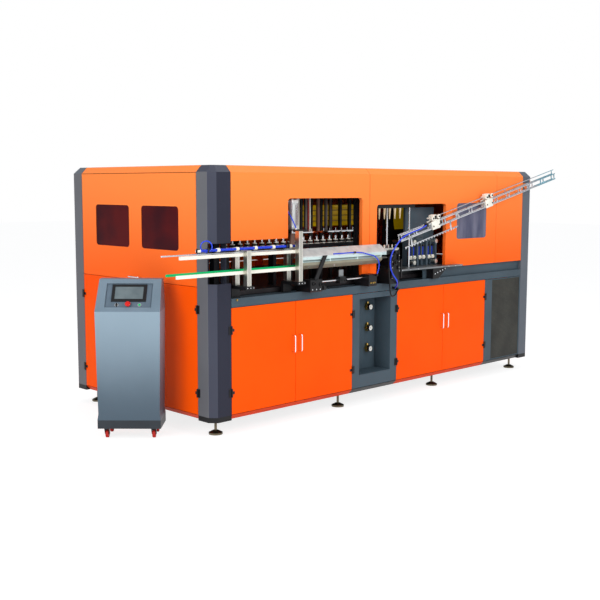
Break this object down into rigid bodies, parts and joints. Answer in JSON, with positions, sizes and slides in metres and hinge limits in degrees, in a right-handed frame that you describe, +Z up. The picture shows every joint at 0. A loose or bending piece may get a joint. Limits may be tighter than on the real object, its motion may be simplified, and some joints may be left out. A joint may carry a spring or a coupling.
{
  "type": "blow moulding machine",
  "caption": "Stretch blow moulding machine in a long cabinet with open work spaces, a sloping preform chute, a bottle lane and a separate control console on casters.",
  "frame": {"origin": "centre of the near left foot's pad, on the floor", "axes": "+X along the front face to the right, +Y into the machine's depth, +Z up"},
  "size_m": [5.0029, 1.942, 1.9984],
  "materials": {
    "aluminium": "brushed",
    "black_paint": "satin",
    "black_plastic": "matte",
    "brass_fittings": "satin",
    "bright_steel": "brushed",
    "brown_plate": "satin",
    "console_paint": "satin",
    "gold_reflector": "polished",
    "green_plastic": "matte",
    "grey_paint": "satin",
    "grey_plastic": "matte",
    "lamp_glass": "gloss",
    "orange_paint": "satin",
    "red_plastic": "gloss",
    "red_rubber": "matte",
    "slate_paint": "satin",
    "smoked_pane": "gloss",
    "tinted_pane": "gloss",
    "white_plastic": "matte",
    "zinc_steel": "brushed"
  },
  "bodies": {
    "machine": {"air_filters": "grey_plastic", "air_pipe": "aluminium", "carrier_track": "grey_paint", "closed_panels": "orange_paint", "column_front_left": "slate_paint", "console_panel": "grey_plastic", "console_screen": "black_plastic", "console_shell": "console_paint", "corner_columns": "slate_paint", "front_cover_left": "orange_paint", "front_cover_middle": "orange_paint", "front_cover_right": "orange_paint", "front_rail": "slate_paint", "front_window": "tinted_pane", "gauge_alcove": "slate_paint", "guide_rails": "white_plastic", "heater_lamps": "lamp_glass", "hinge_leaves": "black_paint", "levelling_feet": "zinc_steel", "machine_bed": "grey_paint", "machine_frame": "grey_paint", "oven_rack": "black_paint", "oven_reflector": "gold_reflector", "preform_chute": "bright_steel", "press_base": "aluminium", "pressure_gauges": "brass_fittings", "rail_posts": "aluminium", "rear_caster_forks": "black_paint", "rear_platen": "grey_paint", "roof_panel": "orange_paint", "service_frame": "slate_paint", "service_window": "smoked_pane", "skirt": "black_paint", "slide_unit": "black_paint", "stop_cylinder": "aluminium", "trough": "aluminium", "wear_strip": "green_plastic"},
    "front_door_1": {"front_door_1": "orange_paint"},
    "front_door_2": {"front_door_2": "orange_paint"},
    "front_door_3": {"front_door_3": "orange_paint"},
    "front_door_4": {"front_door_4": "orange_paint"},
    "end_door_near": {"end_door_near": "orange_paint"},
    "end_door_far": {"end_door_far": "orange_paint"},
    "end_door_upper": {"end_door_upper": "orange_paint", "end_windows": "tinted_pane"},
    "preform_carriers": {"preform_carriers": "bright_steel"},
    "moving_platen": {"moving_platen": "aluminium"},
    "stretch_head": {"stretch_head": "aluminium"},
    "carriage": {"carriage": "aluminium"},
    "stop_plate": {"stop_plate": "brown_plate"},
    "selector_knob": {"selector_knob": "black_plastic"},
    "stop_button": {"stop_button": "red_plastic"},
    "green_button": {"green_button": "green_plastic"},
    "caster_fork_1": {"caster_fork_1": "black_paint"},
    "caster_fork_2": {"caster_fork_2": "black_paint"},
    "caster_wheel_1": {"caster_wheel_1": "red_rubber"},
    "caster_wheel_2": {"caster_wheel_2": "red_rubber"},
    "caster_wheel_3": {"caster_wheel_3": "red_rubber"},
    "caster_wheel_4": {"caster_wheel_4": "red_rubber"}
  },
  "joints": [
    {"name": "front_door_1_hinge", "type": "hinge", "parent": "machine", "child": "front_door_1", "pos_m": [0.043, -0.141, 0.6], "axis": [0, 0, -1], "range_deg": [0, 110]},
    {"name": "front_door_2_hinge", "type": "hinge", "parent": "machine", "child": "front_door_2", "pos_m": [1.343, -0.141, 0.6], "axis": [0, 0, 1], "range_deg": [0, 110]},
    {"name": "front_door_3_hinge", "type": "hinge", "parent": "machine", "child": "front_door_3", "pos_m": [1.909, -0.141, 0.6], "axis": [0, 0, -1], "range_deg": [0, 110]},
    {"name": "front_door_4_hinge", "type": "hinge", "parent": "machine", "child": "front_door_4", "pos_m": [3.209, -0.141, 0.6], "axis": [0, 0, 1], "range_deg": [0, 110]},
    {"name": "end_door_near_hinge", "type": "hinge", "parent": "machine", "child": "end_door_near", "pos_m": [-0.141, 0.035, 0.6], "axis": [0, 0, 1], "range_deg": [0, 10]},
    {"name": "end_door_far_hinge", "type": "hinge", "parent": "machine", "child": "end_door_far", "pos_m": [-0.141, 1.529, 0.6], "axis": [0, 0, -1], "range_deg": [0, 110]},
    {"name": "end_door_upper_lift", "type": "hinge", "parent": "machine", "child": "end_door_upper", "pos_m": [-0.125, 0.782, 1.892], "axis": [0, 1, 0], "range_deg": [0, 5]},
    {"name": "carrier_slide", "type": "slide", "parent": "machine", "child": "preform_carriers", "axis": [1, 0, 0], "range_m": [0, 0.0762]},
    {"name": "mould_clamp", "type": "slide", "parent": "machine", "child": "moving_platen", "axis": [0, 1, 0], "range_m": [0, 0.1]},
    {"name": "stretch_slide", "type": "slide", "parent": "machine", "child": "stretch_head", "axis": [0, 0, -1], "range_m": [0, 0.12]},
    {"name": "carriage_slide", "type": "slide", "parent": "machine", "child": "carriage", "axis": [1, 0, 0], "range_m": [-0.2, 0.24]},
    {"name": "stop_slide", "type": "slide", "parent": "machine", "child": "stop_plate", "axis": [0, 0, -1], "range_m": [-0.02, 0.06]},
    {"name": "selector_turn", "type": "hinge", "parent": "machine", "child": "selector_knob", "pos_m": [-0.58383, 0.39055, 0.9728], "axis": [-0.5617, -0.5696, 0.6], "range_deg": [-45, 45]},
    {"name": "stop_press", "type": "slide", "parent": "machine", "child": "stop_button", "axis": [0.5617, 0.5696, -0.6], "range_m": [0, 0.003], "stiffness_N_per_m": 800},
    {"name": "green_press", "type": "slide", "parent": "machine", "child": "green_button", "axis": [0.5617, 0.5696, -0.6], "range_m": [0, 0.003], "stiffness_N_per_m": 600},
    {"name": "caster_1_swivel", "type": "hinge", "parent": "machine", "child": "caster_fork_1", "pos_m": [-0.64445, 0.45441, 0.08], "axis": [0, 0, 1], "continuous": true},
    {"name": "caster_1_roll", "type": "hinge", "parent": "caster_fork_1", "child": "caster_wheel_1", "pos_m": [-0.629, 0.47007, 0.031], "axis": [0.712, -0.7022, 0], "continuous": true},
    {"name": "caster_2_swivel", "type": "hinge", "parent": "machine", "child": "caster_fork_2", "pos_m": [-0.40236, 0.21568, 0.08], "axis": [0, 0, 1], "continuous": true},
    {"name": "caster_2_roll", "type": "hinge", "parent": "caster_fork_2", "child": "caster_wheel_2", "pos_m": [-0.38691, 0.23134, 0.031], "axis": [0.712, -0.7022, 0], "continuous": true},
    {"name": "caster_3_roll", "type": "hinge", "parent": "machine", "child": "caster_wheel_3", "pos_m": [-0.50963, 0.59112, 0.031], "axis": [0.712, -0.7022, 0], "continuous": true},
    {"name": "caster_4_roll", "type": "hinge", "parent": "machine", "child": "caster_wheel_4", "pos_m": [-0.26754, 0.35238, 0.031], "axis": [0.712, -0.7022, 0], "continuous": true}
  ]
}
